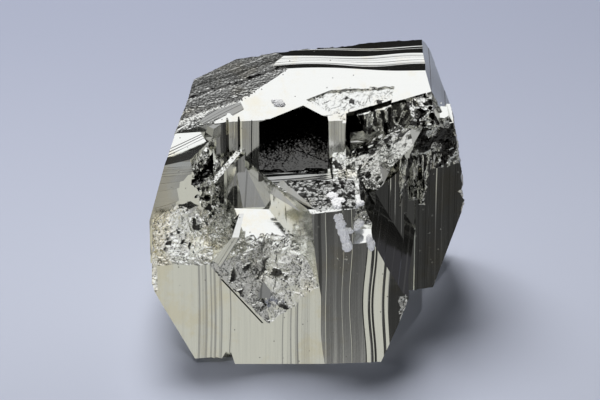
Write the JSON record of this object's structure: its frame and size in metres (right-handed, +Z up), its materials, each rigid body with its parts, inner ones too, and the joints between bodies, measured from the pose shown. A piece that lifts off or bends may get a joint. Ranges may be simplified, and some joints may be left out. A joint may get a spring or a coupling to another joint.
{
  "type": "mineral specimen",
  "caption": "Hand-sized pyrite specimen: intergrown cubes and pyritohedra with striated, bright and broken faces, a dark hollow and a little bluish quartz",
  "frame": {"origin": "on the ground, under the middle of the specimen's box", "axes": "+Z up, -Y towards the front with the striated faces, +X to the front's right"},
  "size_m": [0.052, 0.0424, 0.0424],
  "materials": {
    "pyrite": "bright metallic lustre, striated and partly broken",
    "quartz": "translucent, sugary"
  },
  "bodies": {
    "root": {"pyrite": "pyrite", "quartz_vein": "quartz", "quartz_drop": "quartz", "quartz_spot": "quartz", "quartz_druse": "quartz"}
  },
  "joints": []
}
